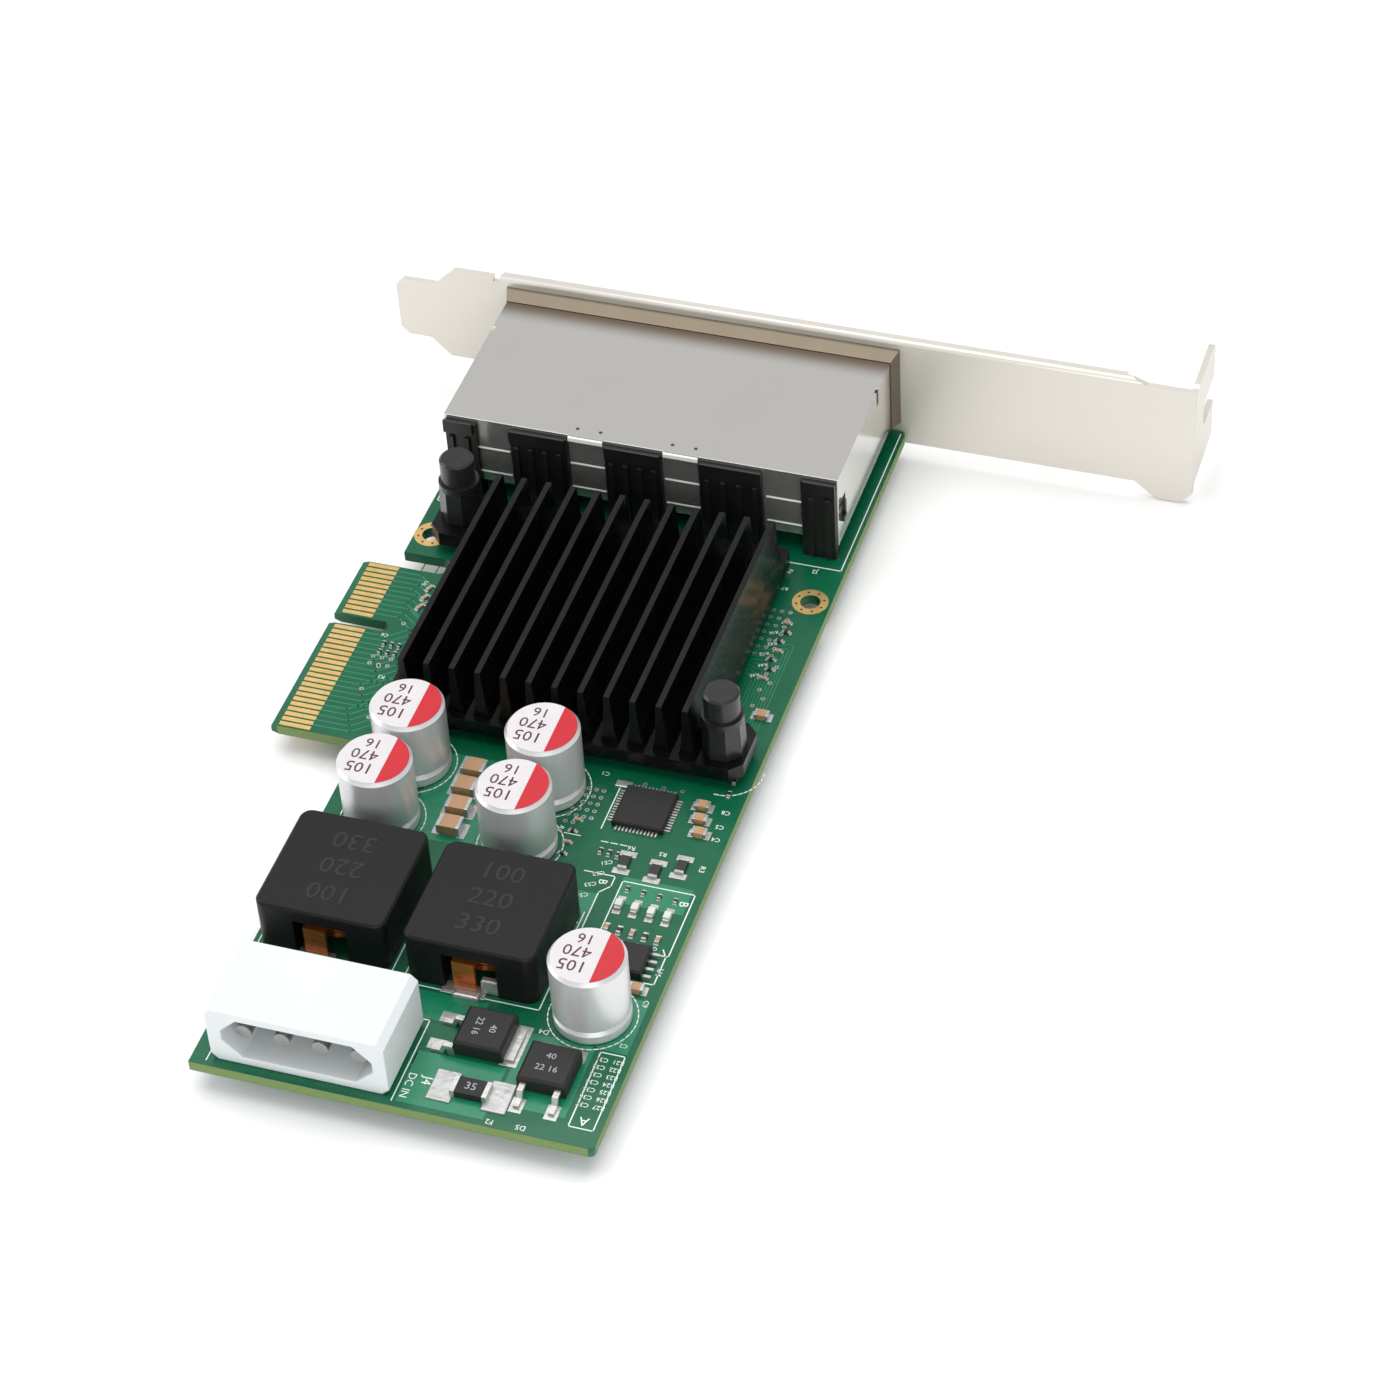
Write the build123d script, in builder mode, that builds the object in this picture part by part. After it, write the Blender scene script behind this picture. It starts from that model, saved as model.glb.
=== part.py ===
# Four port network interface card with a heatsink, two power inductors and a four way power header.
# X runs across the card from the edge fingers, Y towards the bracket, Z up from the component side.
# The origin is on the edge of the fingers, in line with the middle of the key notch, at the board's top face.

from build123d import *
from math import cos, radians, sin
import os

os.makedirs("parts", exist_ok=True)

# Circuit board
board_thickness = 1.6
board_right = 66.3
board_near = -80.9
board_far = 58.3
near_left = 13.1
far_left = 5.0
board_corner = 0.8

# Edge fingers, on the standard pitch
finger_pitch = 1.0
finger_width = 0.7
finger_start = 1.1
finger_end = 5.6
plating = 0.05
key_width = 1.9
key_depth = 8.5
short_row = 11
long_row = 21
row_margin = 0.65 - finger_pitch / 2
first_finger = key_width / 2 + row_margin + finger_pitch / 2
short_edge = first_finger + (short_row - 1) * finger_pitch + 0.55
long_edge = -(first_finger + (long_row - 1) * finger_pitch + 0.55)
edge_bevel = 1.0
bevel_drop = 0.35
slot_width = 3.15
slot_end = 12.5

# Mounting rings
ring_radius = 2.55
ring_bore = 2.8
ring_places = [(7.5, 19.8), (63.4, 19.8)]

# Bracket
sheet = 0.86
bracket_inner = 58.6
bracket_top = 16.2
bracket_low = -2.2
end_top = 15.4
end_low = -4.8
shoulder_low = 0.0
bracket_left = -11.6
tongue_end = -5.3
tongue_top = 13.1
tongue_low = 2.9
bend_outer = 108.4
bend_radius = 0.6
tab_depth = 11.43
tab_low = -1.6
screw_slot = 4.42
slot_height = 6.9
slot_run = 7.0
flange_depth = 1.5
flange_left = 5.2
flange_right = 98.3
ear_width = 8.0
ear_depth = 9.0

# Four port jack
jack_left = 6.9
jack_width = 57.8
jack_rear = 29.8
jack_top = 14.0
jack_low = 2.2
jack_nose = 0.5
shield = 0.3
port_pitch = 14.1
port_width = 11.7
port_height = 6.8
port_top = 12.4
port_depth = 14.0
latch_width = 6.4
latch_height = 2.4
skirt_width = 3.4
skirt_height = 1.0
rear_step = 1.6
rear_proud = 0.7
post_shares = [(0.0, 0.08), (0.17, 0.318), (0.415, 0.56), (0.657, 0.816), (0.916, 1.0)]
peg_radius = 1.5
peg_clearance = 0.1
pin_side = 0.5
pin_stub = 1.4
flare = 0.35
flare_length = 2.4

# Heatsink and its push pins
sink_left = 14.8
sink_width = 44.2
sink_near = -18.3
sink_length = 43.9
sink_bottom = 1.6
base_thickness = 2.2
fin_count = 12
fin_pitch = 3.6
fin_thickness = 0.8
fin_root = 2.6
fin_knee = 1.5
fin_top = 12.0
fin_margin = 1.0
fin_length = 39.0
lug_reach = 3.4
lug_length = 5.0
lug_chamfer = 1.6
pin_side_gap = 2.9
pin_end_gap = 4.2
pin_head_radius = 2.45
pin_head_top = 13.9
pin_head_low = 10.0
pin_shaft = 1.5
pin_clearance = 0.15
chip_side = 17.0
chip_height = 1.2

# Capacitor cans
can_radius = 5.0
can_height = 11.0
can_places = [(21.6, -24.1), (21.2, -34.9), (40.4, -23.8), (40.3, -34.7), (59.2, -60.4)]
bung_height = 1.0
lead_radius = 0.3
lead_spacing = 5.0
lead_stub = 1.5

# Power inductors
coil_side = 17.6
coil_height = 8.0
coil_places = [(23.0, -51.6), (43.2, -52.0)]
coil_bore = 6.6
window_width = 7.2
window_height = 4.4
window_low = 1.6
winding_turns = 4
turn_gap = 0.25

# Power header
header_left = 15.7
header_width = 23.7
header_near = -79.6
header_depth = 12.3
header_height = 9.0
header_wall = 1.9
header_floor = 1.3
header_corner = 2.4
way_pitch = 5.08
way_count = 4
way_radius = 1.05
way_height = 4.3
way_tail = 2.2

sink_right = sink_left + sink_width
sink_far = sink_near + sink_length
pin_places = [(sink_right + pin_side_gap, sink_near + pin_end_gap), (sink_left - pin_side_gap, sink_far - pin_end_gap)]
header_middle = header_left + header_width / 2
jack_middle = jack_left + jack_width / 2
jack_right = jack_left + jack_width
jack_front = bracket_inner + sheet + jack_nose
port_centres = [jack_middle + (i - 1.5) * port_pitch for i in range(4)]
way_centres = [header_middle + (i - (way_count - 1) / 2) * way_pitch for i in range(way_count)]
way_bend = header_near + header_depth + way_tail
opening_margin = 0.45
ear_centres = [jack_left + 0.12 * jack_width, jack_right - 0.12 * jack_width]
ear_screw_y = bracket_inner - ear_depth * 0.6
screw_radius = 1.2
pin_rows = [jack_rear + 5.0, jack_rear + 8.0]
pin_pitch = 2.54
peg_y = (jack_rear + bracket_inner) / 2
coil_lead = 8.0


# Circuit board with its finger tab, key notch, slot and plated holes
with BuildPart() as circuit_board:
    with BuildSketch():
        with BuildLine():
            Polyline(
                (near_left, board_near),
                (board_right, board_near),
                (board_right, board_far),
                (far_left, board_far),
                (far_left, short_edge + slot_width / 2),
                (0, short_edge + slot_width / 2),
                (0, long_edge),
                (near_left, long_edge),
                close=True,
            )
        make_face()
        fillet(vertices().group_by(Axis.X)[-1], board_corner)
        SlotOverall(2 * key_depth, key_width, mode=Mode.SUBTRACT)
        with Locations((0, short_edge + slot_width / 2)):
            SlotOverall(2 * slot_end, slot_width, mode=Mode.SUBTRACT)
        with Locations(*ring_places):
            Circle(ring_bore / 2, mode=Mode.SUBTRACT)
        with Locations(*pin_places):
            Circle(pin_shaft + pin_clearance, mode=Mode.SUBTRACT)
        with Locations(*[(x, way_bend) for x in way_centres]):
            Circle(way_radius + 0.1, mode=Mode.SUBTRACT)
        with Locations((header_left + header_width + 1.2, header_near + 6.8)):
            SlotOverall(2.5, 1.0, rotation=90, mode=Mode.SUBTRACT)
        for x, y in can_places:
            with Locations((x - lead_spacing / 2, y), (x + lead_spacing / 2, y)):
                Circle(lead_radius + 0.1, mode=Mode.SUBTRACT)
        with Locations(*[(x, ear_screw_y) for x in ear_centres]):
            Circle(screw_radius + 0.1, mode=Mode.SUBTRACT)
        with Locations(*[(x, peg_y) for x in (port_centres[0], port_centres[3])]):
            Circle(peg_radius + peg_clearance, mode=Mode.SUBTRACT)
        for x in port_centres:
            for row in pin_rows:
                with Locations((x, row)):
                    with GridLocations(pin_pitch, 1, 4, 1):
                        Circle(pin_side * 0.8, mode=Mode.SUBTRACT)
    extrude(amount=-board_thickness)
    for row in range(2):
        finger_end_face = faces().filter_by(Axis.X).group_by(Axis.X)[0].sort_by(Axis.Y)[row]
        chamfer(finger_end_face.edges().filter_by(Axis.Y), bevel_drop, edge_bevel, reference=finger_end_face)
circuit_board.part.label = "circuit_board"
export_step(circuit_board.part, "parts/circuit_board.step")

# Gold plated fingers on both faces, in a short row and a long row
finger_length = finger_end - finger_start
short_places = [first_finger + i * finger_pitch for i in range(short_row)]
long_places = [-first_finger - i * finger_pitch for i in range(long_row)]
with BuildPart() as edge_contacts:
    for level in (0, -board_thickness - plating):
        with BuildSketch(Plane.XY.offset(level)):
            with Locations(*[(finger_start + finger_length / 2, y) for y in short_places + long_places]):
                Rectangle(finger_length, finger_width)
        extrude(amount=plating)
edge_contacts.part.label = "edge_contacts"
export_step(edge_contacts.part, "parts/edge_contacts.step")

# Plated rings round the two mounting holes, on both faces
with BuildPart() as mounting_rings:
    for level in (0, -board_thickness - plating):
        with BuildSketch(Plane.XY.offset(level)):
            with Locations(*ring_places):
                Circle(ring_radius)
                Circle(ring_bore / 2, mode=Mode.SUBTRACT)
        extrude(amount=plating)
mounting_rings.part.label = "mounting_rings"
export_step(mounting_rings.part, "parts/mounting_rings.step")

# Bracket: a folded steel plate with a tongue, a jack opening, a stiffening flange, ears and a screw tab
bracket_plane = Plane((0, bracket_inner + sheet, 0), x_dir=(1, 0, 0), z_dir=(0, -1, 0))
flange_fold = bracket_inner + flange_depth
with BuildPart() as bracket:
    with BuildSketch(bracket_plane):
        with BuildLine():
            Polyline(
                (bracket_left, tongue_low + 1.2),
                (bracket_left + 1.2, tongue_low),
                (tongue_end - 1.6, tongue_low),
                (tongue_end + 1.3, shoulder_low),
                (tongue_end + 4.8, shoulder_low),
                (tongue_end + 7.0, bracket_low),
                (flange_right + 1.7, bracket_low),
                (flange_right + 4.0, end_low + 0.7),
                (flange_right + 5.3, end_low),
                (bend_outer - 1.8, end_low),
                (bend_outer, end_low + 1.8),
                (bend_outer, end_top),
                (flange_right + 3.0, end_top),
                (flange_right + 1.0, bracket_top),
                (flange_left - 0.2, bracket_top),
                (flange_left - 0.2, bracket_top - 0.9),
                (flange_left - 1.2, bracket_top - 0.9),
                (flange_left - 1.2, bracket_top),
                (tongue_end + 3.1, bracket_top),
                (tongue_end, tongue_top),
                (bracket_left + 1.2, tongue_top),
                (bracket_left, tongue_top - 1.2),
                close=True,
            )
        make_face()
        with Locations((jack_middle, (jack_top + jack_low) / 2)):
            RectangleRounded(
                jack_width + 2 * opening_margin, jack_top - jack_low + 2 * opening_margin, 0.9, mode=Mode.SUBTRACT
            )
    extrude(amount=sheet)
    with BuildSketch(Plane.YZ.offset(flange_left)):
        with BuildLine():
            Polyline(
                (bracket_inner, bracket_top - sheet),
                (flange_fold, bracket_top - sheet),
                (flange_fold, bracket_top),
                (bracket_inner, bracket_top),
                close=True,
            )
        make_face()
    extrude(amount=flange_right - flange_left)
    with BuildSketch(Plane.YZ.offset(bend_outer)):
        with Locations((bracket_inner + sheet + tab_depth / 2, (end_top + tab_low) / 2)):
            Rectangle(tab_depth, end_top - tab_low)
        fillet(vertices().group_by(Axis.Y)[-1], 1.4)
        with Locations((bracket_inner + sheet + tab_depth - slot_run / 2 + 1.0, slot_height)):
            SlotOverall(slot_run + 2.0, screw_slot, mode=Mode.SUBTRACT)
    extrude(amount=-sheet)
    for x in ear_centres:
        with BuildSketch(Plane.XY.offset(-board_thickness)):
            with Locations((x, bracket_inner + sheet - (ear_depth + sheet) / 2)):
                Rectangle(ear_width, ear_depth + sheet)
            fillet(vertices().group_by(Axis.Y)[0], 2.0)
            with Locations((x, ear_screw_y)):
                Circle(screw_radius + 0.1, mode=Mode.SUBTRACT)
        extrude(amount=-sheet)
    outer_bend = edges().filter_by(Axis.Z).group_by(Axis.X)[-1].sort_by(Axis.Y)[0]
    fillet(outer_bend, bend_radius)
    fold_edge = edges().filter_by(Axis.X).group_by(Axis.Z)[-1].sort_by(Axis.Y)[0]
    fillet(fold_edge, bend_radius)
bracket.part.label = "bracket"
export_step(bracket.part, "parts/bracket.step")

# Two pan head screws that hold the ears to the board from below
with BuildPart() as bracket_screws:
    with Locations(*[(x, ear_screw_y, -board_thickness - sheet) for x in ear_centres]):
        Cylinder(2.3, 1.3, align=(Align.CENTER, Align.CENTER, Align.MAX))
        Cylinder(screw_radius, board_thickness + sheet + 1.2, align=(Align.CENTER, Align.CENTER, Align.MIN))
    head_edges = edges().group_by(Axis.Z)[0]
    fillet(head_edges, 0.5)
bracket_screws.part.label = "bracket_screws"
export_step(bracket_screws.part, "parts/bracket_screws.step")

# Folded shield over the jack: a top and two sides, with two tabs turned down at the rear
shield_length = bracket_inner - flare - jack_rear
with BuildPart() as jack_shield:
    with BuildSketch(Plane((0, jack_rear, 0), x_dir=(1, 0, 0), z_dir=(0, 1, 0)).rotated((0, 0, 0))):
        with Locations((jack_middle, -(jack_top + jack_low) / 2)):
            Rectangle(jack_width, jack_top - jack_low)
        with Locations((jack_middle, -(jack_top + jack_low - shield) / 2)):
            Rectangle(jack_width - 2 * shield, jack_top - jack_low - shield, mode=Mode.SUBTRACT)
    extrude(amount=jack_front - 0.3 - jack_rear)
    tab_centres = [jack_left + 0.366 * jack_width, jack_left + 0.608 * jack_width]
    with Locations(*[(x, jack_rear, jack_top) for x in tab_centres]):
        Box(5.2, shield, 1.2, align=(Align.CENTER, Align.MAX, Align.MAX))
    with Locations((jack_middle, jack_rear, jack_low + 0.8)):
        Box(
            jack_width, shield, jack_top - jack_low - 0.8,
            align=(Align.CENTER, Align.MIN, Align.MIN),
        )
    for start, stop in post_shares:
        with Locations((jack_left + shield + start * (jack_width - 2 * shield), jack_rear, 0)):
            Box(
                (stop - start) * (jack_width - 2 * shield), shield, jack_top - shield - 0.3,
                align=(Align.MIN, Align.MIN, Align.MIN), mode=Mode.SUBTRACT,
            )
    side_slots = [(jack_right, jack_rear + 20.0, jack_top - 1.0), (jack_left, jack_rear + 20.0, jack_top - 1.0)]
    with Locations(*side_slots):
        Box(2 * shield + 0.2, 0.9, 3.0, mode=Mode.SUBTRACT)
    latch_slots = [(jack_right, jack_rear + 2.0, jack_low + 6.3), (jack_left, jack_rear + 2.0, jack_low + 6.3)]
    with Locations(*latch_slots):
        Box(2 * shield + 0.2, 3.0, 1.4, mode=Mode.SUBTRACT)
jack_shield.part.label = "jack_shield"
export_step(jack_shield.part, "parts/jack_shield.step")

# Grounding spring frame that flares out from the shield to the back of the bracket
frame_plane = Plane((0, bracket_inner - flare_length, 0), x_dir=(1, 0, 0), z_dir=(0, 1, 0))
with BuildPart() as ground_spring_frame:
    with BuildSketch(frame_plane):
        with Locations((jack_middle, -(jack_top + jack_low) / 2)):
            Rectangle(jack_width + 0.2, jack_top - jack_low + 0.2)
    with BuildSketch(frame_plane.offset(flare_length)):
        with Locations((jack_middle, -(jack_top + jack_low) / 2)):
            Rectangle(jack_width + 0.2 + 2 * flare * 2, jack_top - jack_low + 0.2 + 2 * flare * 2)
    loft()
    with BuildSketch(frame_plane):
        with Locations((jack_middle, -(jack_top + jack_low) / 2)):
            Rectangle(jack_width, jack_top - jack_low)
    extrude(amount=flare_length, mode=Mode.SUBTRACT)
ground_spring_frame.part.label = "ground_spring_frame"
export_step(ground_spring_frame.part, "parts/ground_spring_frame.step")

# Moulded jack housing: four port cavities at the front, an open bay at the rear and ribbed rear posts
inner_width = jack_width - 2 * shield
inner_top = jack_top - shield
bay_front = jack_front - port_depth - 1.6
post_spans = [(a * inner_width, b * inner_width) for a, b in post_shares]
housing_rear = jack_rear + rear_step
with BuildPart() as jack_housing:
    with Locations((jack_middle, housing_rear, jack_low)):
        Box(
            inner_width, jack_front - housing_rear, inner_top - jack_low,
            align=(Align.CENTER, Align.MIN, Align.MIN),
        )
    for start, stop in post_spans:
        with Locations((jack_left + shield + start, jack_rear - rear_proud, 0)):
            Box(
                stop - start, rear_step + rear_proud, inner_top - 0.3,
                align=(Align.MIN, Align.MIN, Align.MIN),
            )
    with Locations((jack_middle, housing_rear + 0.8, jack_low)):
        Box(
            inner_width - 1.6, bay_front - housing_rear - 1.6, inner_top - jack_low - 1.0,
            align=(Align.CENTER, Align.MIN, Align.MIN), mode=Mode.SUBTRACT,
        )
    for x in port_centres:
        with Locations((x, jack_front, port_top)):
            Box(
                port_width, port_depth, port_height,
                align=(Align.CENTER, Align.MAX, Align.MAX), mode=Mode.SUBTRACT,
            )
        with Locations((x, jack_front, port_top - port_height)):
            Box(
                latch_width, port_depth, latch_height,
                align=(Align.CENTER, Align.MAX, Align.MAX), mode=Mode.SUBTRACT,
            )
    for x in (port_centres[0], port_centres[3]):
        with Locations((x, peg_y, jack_low)):
            Cylinder(peg_radius, jack_low + board_thickness - 0.1, align=(Align.CENTER, Align.CENTER, Align.MAX))
    for x in ear_centres:
        with Locations((x, ear_screw_y, 0)):
            Cylinder(2.4, jack_low, align=(Align.CENTER, Align.CENTER, Align.MIN))
            Cylinder(screw_radius, 1.3, align=(Align.CENTER, Align.CENTER, Align.MIN), mode=Mode.SUBTRACT)
    for x in port_centres:
        for side in (-1, 1):
            with Locations((x + side * (port_width / 2 - 1.1), jack_front, jack_low + 1.9)):
                Box(
                    2.3, 4.0, 1.7,
                    align=(Align.CENTER, Align.MAX, Align.CENTER), mode=Mode.SUBTRACT,
                )
jack_housing.part.label = "jack_housing"
export_step(jack_housing.part, "parts/jack_housing.step")

# Transformer modules in the rear bay, one behind each port
module_depth = bay_front - housing_rear - 2.2
module_height = inner_top - jack_low - 1.6
with BuildPart() as jack_magnetics:
    with Locations(*[(x, housing_rear + 1.1, jack_low + 0.2) for x in port_centres]):
        Box(
            port_pitch - 0.8, module_depth, module_height,
            align=(Align.CENTER, Align.MIN, Align.MIN),
        )
jack_magnetics.part.label = "jack_magnetics"
export_step(jack_magnetics.part, "parts/jack_magnetics.step")

# Eight spring contacts in the roof of each port
contact_pitch = 1.02
contact_reach = 9.0
contact_rear = jack_front - port_depth
with BuildPart() as jack_contacts:
    for x in port_centres:
        for i in range(8):
            with BuildSketch(Plane.YZ.offset(x + (i - 3.5) * contact_pitch - 0.2)):
                with BuildLine():
                    Polyline(
                        (contact_rear, port_top - 0.8),
                        (contact_rear + contact_reach, port_top - 0.1),
                        (contact_rear + contact_reach, port_top - 0.5),
                        (contact_rear + 3.0, port_top - 3.6),
                        (contact_rear + 2.4, port_top - 3.4),
                        (contact_rear + 6.0, port_top - 1.1),
                        (contact_rear, port_top - 1.4),
                        close=True,
                    )
                make_face()
            extrude(amount=0.4)
jack_contacts.part.label = "jack_contacts"
export_step(jack_contacts.part, "parts/jack_contacts.step")

# Solder pins that run from the modules down through the board
with BuildPart() as jack_pins:
    for x in port_centres:
        for row in pin_rows:
            with Locations((x, row, -board_thickness - pin_stub)):
                with GridLocations(pin_pitch, 1, 4, 1):
                    Box(
                        pin_side, pin_side, board_thickness + pin_stub + jack_low + 0.2,
                        align=(Align.CENTER, Align.CENTER, Align.MIN),
                    )
jack_pins.part.label = "jack_pins"
export_step(jack_pins.part, "parts/jack_pins.step")

# Clear windows over the port lights
with BuildPart() as jack_light_windows:
    for x in port_centres:
        for side in (-1, 1):
            with Locations((x + side * (port_width / 2 - 1.1), jack_front, jack_low + 1.9)):
                Box(2.2, 3.8, 1.6, align=(Align.CENTER, Align.MAX, Align.CENTER))
jack_light_windows.part.label = "jack_light_windows"
export_step(jack_light_windows.part, "parts/jack_light_windows.step")

# Controller chip and its heat conducting pad under the heatsink
sink_middle = (sink_left + sink_width / 2, sink_near + sink_length / 2)
with BuildPart() as controller_chip:
    with Locations((*sink_middle, 0)):
        Box(chip_side, chip_side, chip_height, align=(Align.CENTER, Align.CENTER, Align.MIN))
    chamfer(edges().group_by(Axis.Z)[-1], 0.15)
controller_chip.part.label = "controller_chip"
export_step(controller_chip.part, "parts/controller_chip.step")

with BuildPart() as thermal_pad:
    with Locations((*sink_middle, chip_height)):
        Box(
            chip_side - 1.0, chip_side - 1.0, sink_bottom - chip_height,
            align=(Align.CENTER, Align.CENTER, Align.MIN),
        )
thermal_pad.part.label = "thermal_pad"
export_step(thermal_pad.part, "parts/thermal_pad.step")

# Extruded heatsink: a base, twelve tapered fins and two lugs for the push pins
base_top = sink_bottom + base_thickness
fin_middle = sink_right - 1.2 - (fin_count - 1) * fin_pitch / 2
with BuildPart() as heatsink:
    with BuildSketch(Plane.XY.offset(sink_bottom)):
        with Locations((sink_left + sink_width / 2, sink_near + sink_length / 2)):
            RectangleRounded(sink_width, sink_length, 1.0)
        for x, y in pin_places:
            right = x > sink_right
            out = lug_reach if right else -lug_reach
            root = sink_right - 2.0 if right else sink_left + 2.0
            corner = sink_near if right else sink_far
            end = y + lug_length if right else y - lug_length
            inset = lug_chamfer if right else -lug_chamfer
            with BuildLine():
                Polyline(
                    (root, corner),
                    (x + out - inset, corner),
                    (x + out, corner + inset),
                    (x + out, end - inset),
                    (x + out - inset, end),
                    (root, end),
                    close=True,
                )
            make_face()
        with Locations(*pin_places):
            Circle(pin_shaft + pin_clearance, mode=Mode.SUBTRACT)
    extrude(amount=base_thickness)
    with BuildSketch(Plane((0, sink_near + fin_margin, 0), x_dir=(1, 0, 0), z_dir=(0, -1, 0))):
        with Locations((fin_middle, base_top - 0.1)):
            with GridLocations(fin_pitch, 1, fin_count, 1):
                Polygon(
                    (-fin_root / 2, 0),
                    (-fin_knee / 2, (fin_top - base_top) * 0.3),
                    (-fin_thickness / 2, fin_top - base_top + 0.1),
                    (fin_thickness / 2, fin_top - base_top + 0.1),
                    (fin_knee / 2, (fin_top - base_top) * 0.3),
                    (fin_root / 2, 0),
                    align=None,
                )
    extrude(amount=-fin_length)
heatsink.part.label = "heatsink"
export_step(heatsink.part, "parts/heatsink.step")

# Push pins: a round head and collar on an eight sided post that stands on the lug, and a barbed shaft
post_height = pin_head_low - 0.9 - base_top
with BuildPart() as push_pins:
    with BuildSketch(Plane.XY.offset(base_top)):
        with Locations(*pin_places):
            RegularPolygon(pin_head_radius + 0.6, 8, rotation=22.5)
    extrude(amount=post_height, taper=2)
    for x, y in pin_places:
        with BuildSketch(Plane.XZ.offset(-y)):
            with BuildLine():
                Polyline(
                    (x, pin_head_top),
                    (x + pin_head_radius - 0.3, pin_head_top),
                    (x + pin_head_radius, pin_head_top - 0.3),
                    (x + pin_head_radius, pin_head_low),
                    (x + pin_head_radius + 0.4, pin_head_low),
                    (x + pin_head_radius + 0.4, pin_head_low - 0.9),
                    (x + pin_shaft, pin_head_low - 0.9),
                    (x + pin_shaft, -board_thickness),
                    (x + pin_shaft + 0.3, -board_thickness - 0.3),
                    (x + pin_shaft - 0.6, -board_thickness - 2.6),
                    (x, -board_thickness - 2.6),
                    close=True,
                )
            make_face()
        revolve(axis=Axis((x, y, 0), (0, 0, 1)))
push_pins.part.label = "push_pins"
export_step(push_pins.part, "parts/push_pins.step")

# Capacitor cans, each with a rolled groove above its rubber seal
bead_low = 1.4
bead_high = 2.3
bead = 0.45
for number, (x, y) in enumerate(can_places, start=1):
    with BuildPart() as can:
        with BuildSketch(Plane.XZ.offset(-y)):
            with BuildLine():
                Polyline(
                    (x, can_height),
                    (x + can_radius - 0.5, can_height),
                    (x + can_radius, can_height - 0.5),
                    (x + can_radius, bead_high),
                    (x + can_radius - bead, (bead_low + bead_high) / 2),
                    (x + can_radius, bead_low),
                    (x + can_radius, 0.2),
                    (x + can_radius - 0.4, 0),
                    (x + can_radius - 0.8, 0),
                    (x + can_radius - 0.8, bung_height),
                    (x, bung_height),
                    close=True,
                )
            make_face()
        revolve(axis=Axis((x, y, 0), (0, 0, 1)))
    can.part.label = f"capacitor_{number}"
    export_step(can.part, f"parts/capacitor_{number}.step")

with BuildPart() as capacitor_seals:
    for x, y in can_places:
        with Locations((x, y, 0.1)):
            Cylinder(can_radius - 0.85, bung_height - 0.1, align=(Align.CENTER, Align.CENTER, Align.MIN))
        with Locations((x - lead_spacing / 2, y, 0), (x + lead_spacing / 2, y, 0)):
            Cylinder(
                lead_radius, bung_height, align=(Align.CENTER, Align.CENTER, Align.MIN), mode=Mode.SUBTRACT
            )
capacitor_seals.part.label = "capacitor_seals"
export_step(capacitor_seals.part, "parts/capacitor_seals.step")

with BuildPart() as capacitor_leads:
    for x, y in can_places:
        with Locations((x - lead_spacing / 2, y, bung_height), (x + lead_spacing / 2, y, bung_height)):
            Cylinder(
                lead_radius, bung_height + board_thickness + lead_stub,
                align=(Align.CENTER, Align.CENTER, Align.MAX),
            )
capacitor_leads.part.label = "capacitor_leads"
export_step(capacitor_leads.part, "parts/capacitor_leads.step")

# Inductors: a ferrite shell with a front window, a flat wound coil on the centre post and two terminals
winding_outer = coil_bore - 0.2
winding_inner = 2.7
winding_low = window_low + 0.1
turn_height = (window_height - 0.2 - (winding_turns - 1) * turn_gap) / winding_turns
coil_names = ("left", "right")
for name, (x, y) in zip(coil_names, coil_places):
    front = y - coil_side / 2
    with BuildPart() as core:
        with BuildSketch():
            with Locations((x, y)):
                RectangleRounded(coil_side, coil_side, 1.6)
        extrude(amount=coil_height)
        with Locations((x, y, window_low)):
            Cylinder(
                coil_bore, window_height,
                align=(Align.CENTER, Align.CENTER, Align.MIN), mode=Mode.SUBTRACT,
            )
            Cylinder(winding_inner - 0.2, window_height, align=(Align.CENTER, Align.CENTER, Align.MIN))
        with Locations((x, front, 0)):
            Box(
                window_width, coil_side / 2 - coil_bore * 0.7, window_low + window_height,
                align=(Align.CENTER, Align.MIN, Align.MIN), mode=Mode.SUBTRACT,
            )
        chamfer(edges().group_by(Axis.Z)[-1], 0.3)
    core.part.label = f"inductor_core_{name}"
    export_step(core.part, f"parts/inductor_core_{name}.step")

    with BuildPart() as winding:
        for turn in range(winding_turns):
            level = winding_low + turn * (turn_height + turn_gap)
            with BuildSketch(Plane.XY.offset(level)):
                with Locations((x, y)):
                    Circle(winding_outer)
                    Circle(winding_inner, mode=Mode.SUBTRACT)
            extrude(amount=turn_height)
        with BuildSketch(Plane.XY.offset(winding_low)):
            with Locations((x, y)):
                Circle(winding_outer - 0.4)
                Circle(winding_inner, mode=Mode.SUBTRACT)
        extrude(amount=window_height - 0.2)
        with Locations((x - 1.0, y - winding_outer + 0.4, winding_low + 2.0)):
            Box(3.0, 2.4, 0.9, align=(Align.CENTER, Align.MAX, Align.MIN))
        with Locations((x - 1.0, y - winding_outer - 1.4, 0.3)):
            Box(3.0, 0.6, winding_low + 2.6, align=(Align.CENTER, Align.MAX, Align.MIN))
    winding.part.label = f"inductor_winding_{name}"
    export_step(winding.part, f"parts/inductor_winding_{name}.step")

with BuildPart() as inductor_terminals:
    for x, y in coil_places:
        with Locations((x - 1.0, y - winding_outer - 1.4, 0)):
            Box(5.0, 1.6, 0.3, align=(Align.CENTER, Align.MAX, Align.MIN))
inductor_terminals.part.label = "inductor_terminals"
export_step(inductor_terminals.part, "parts/inductor_terminals.step")

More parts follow.
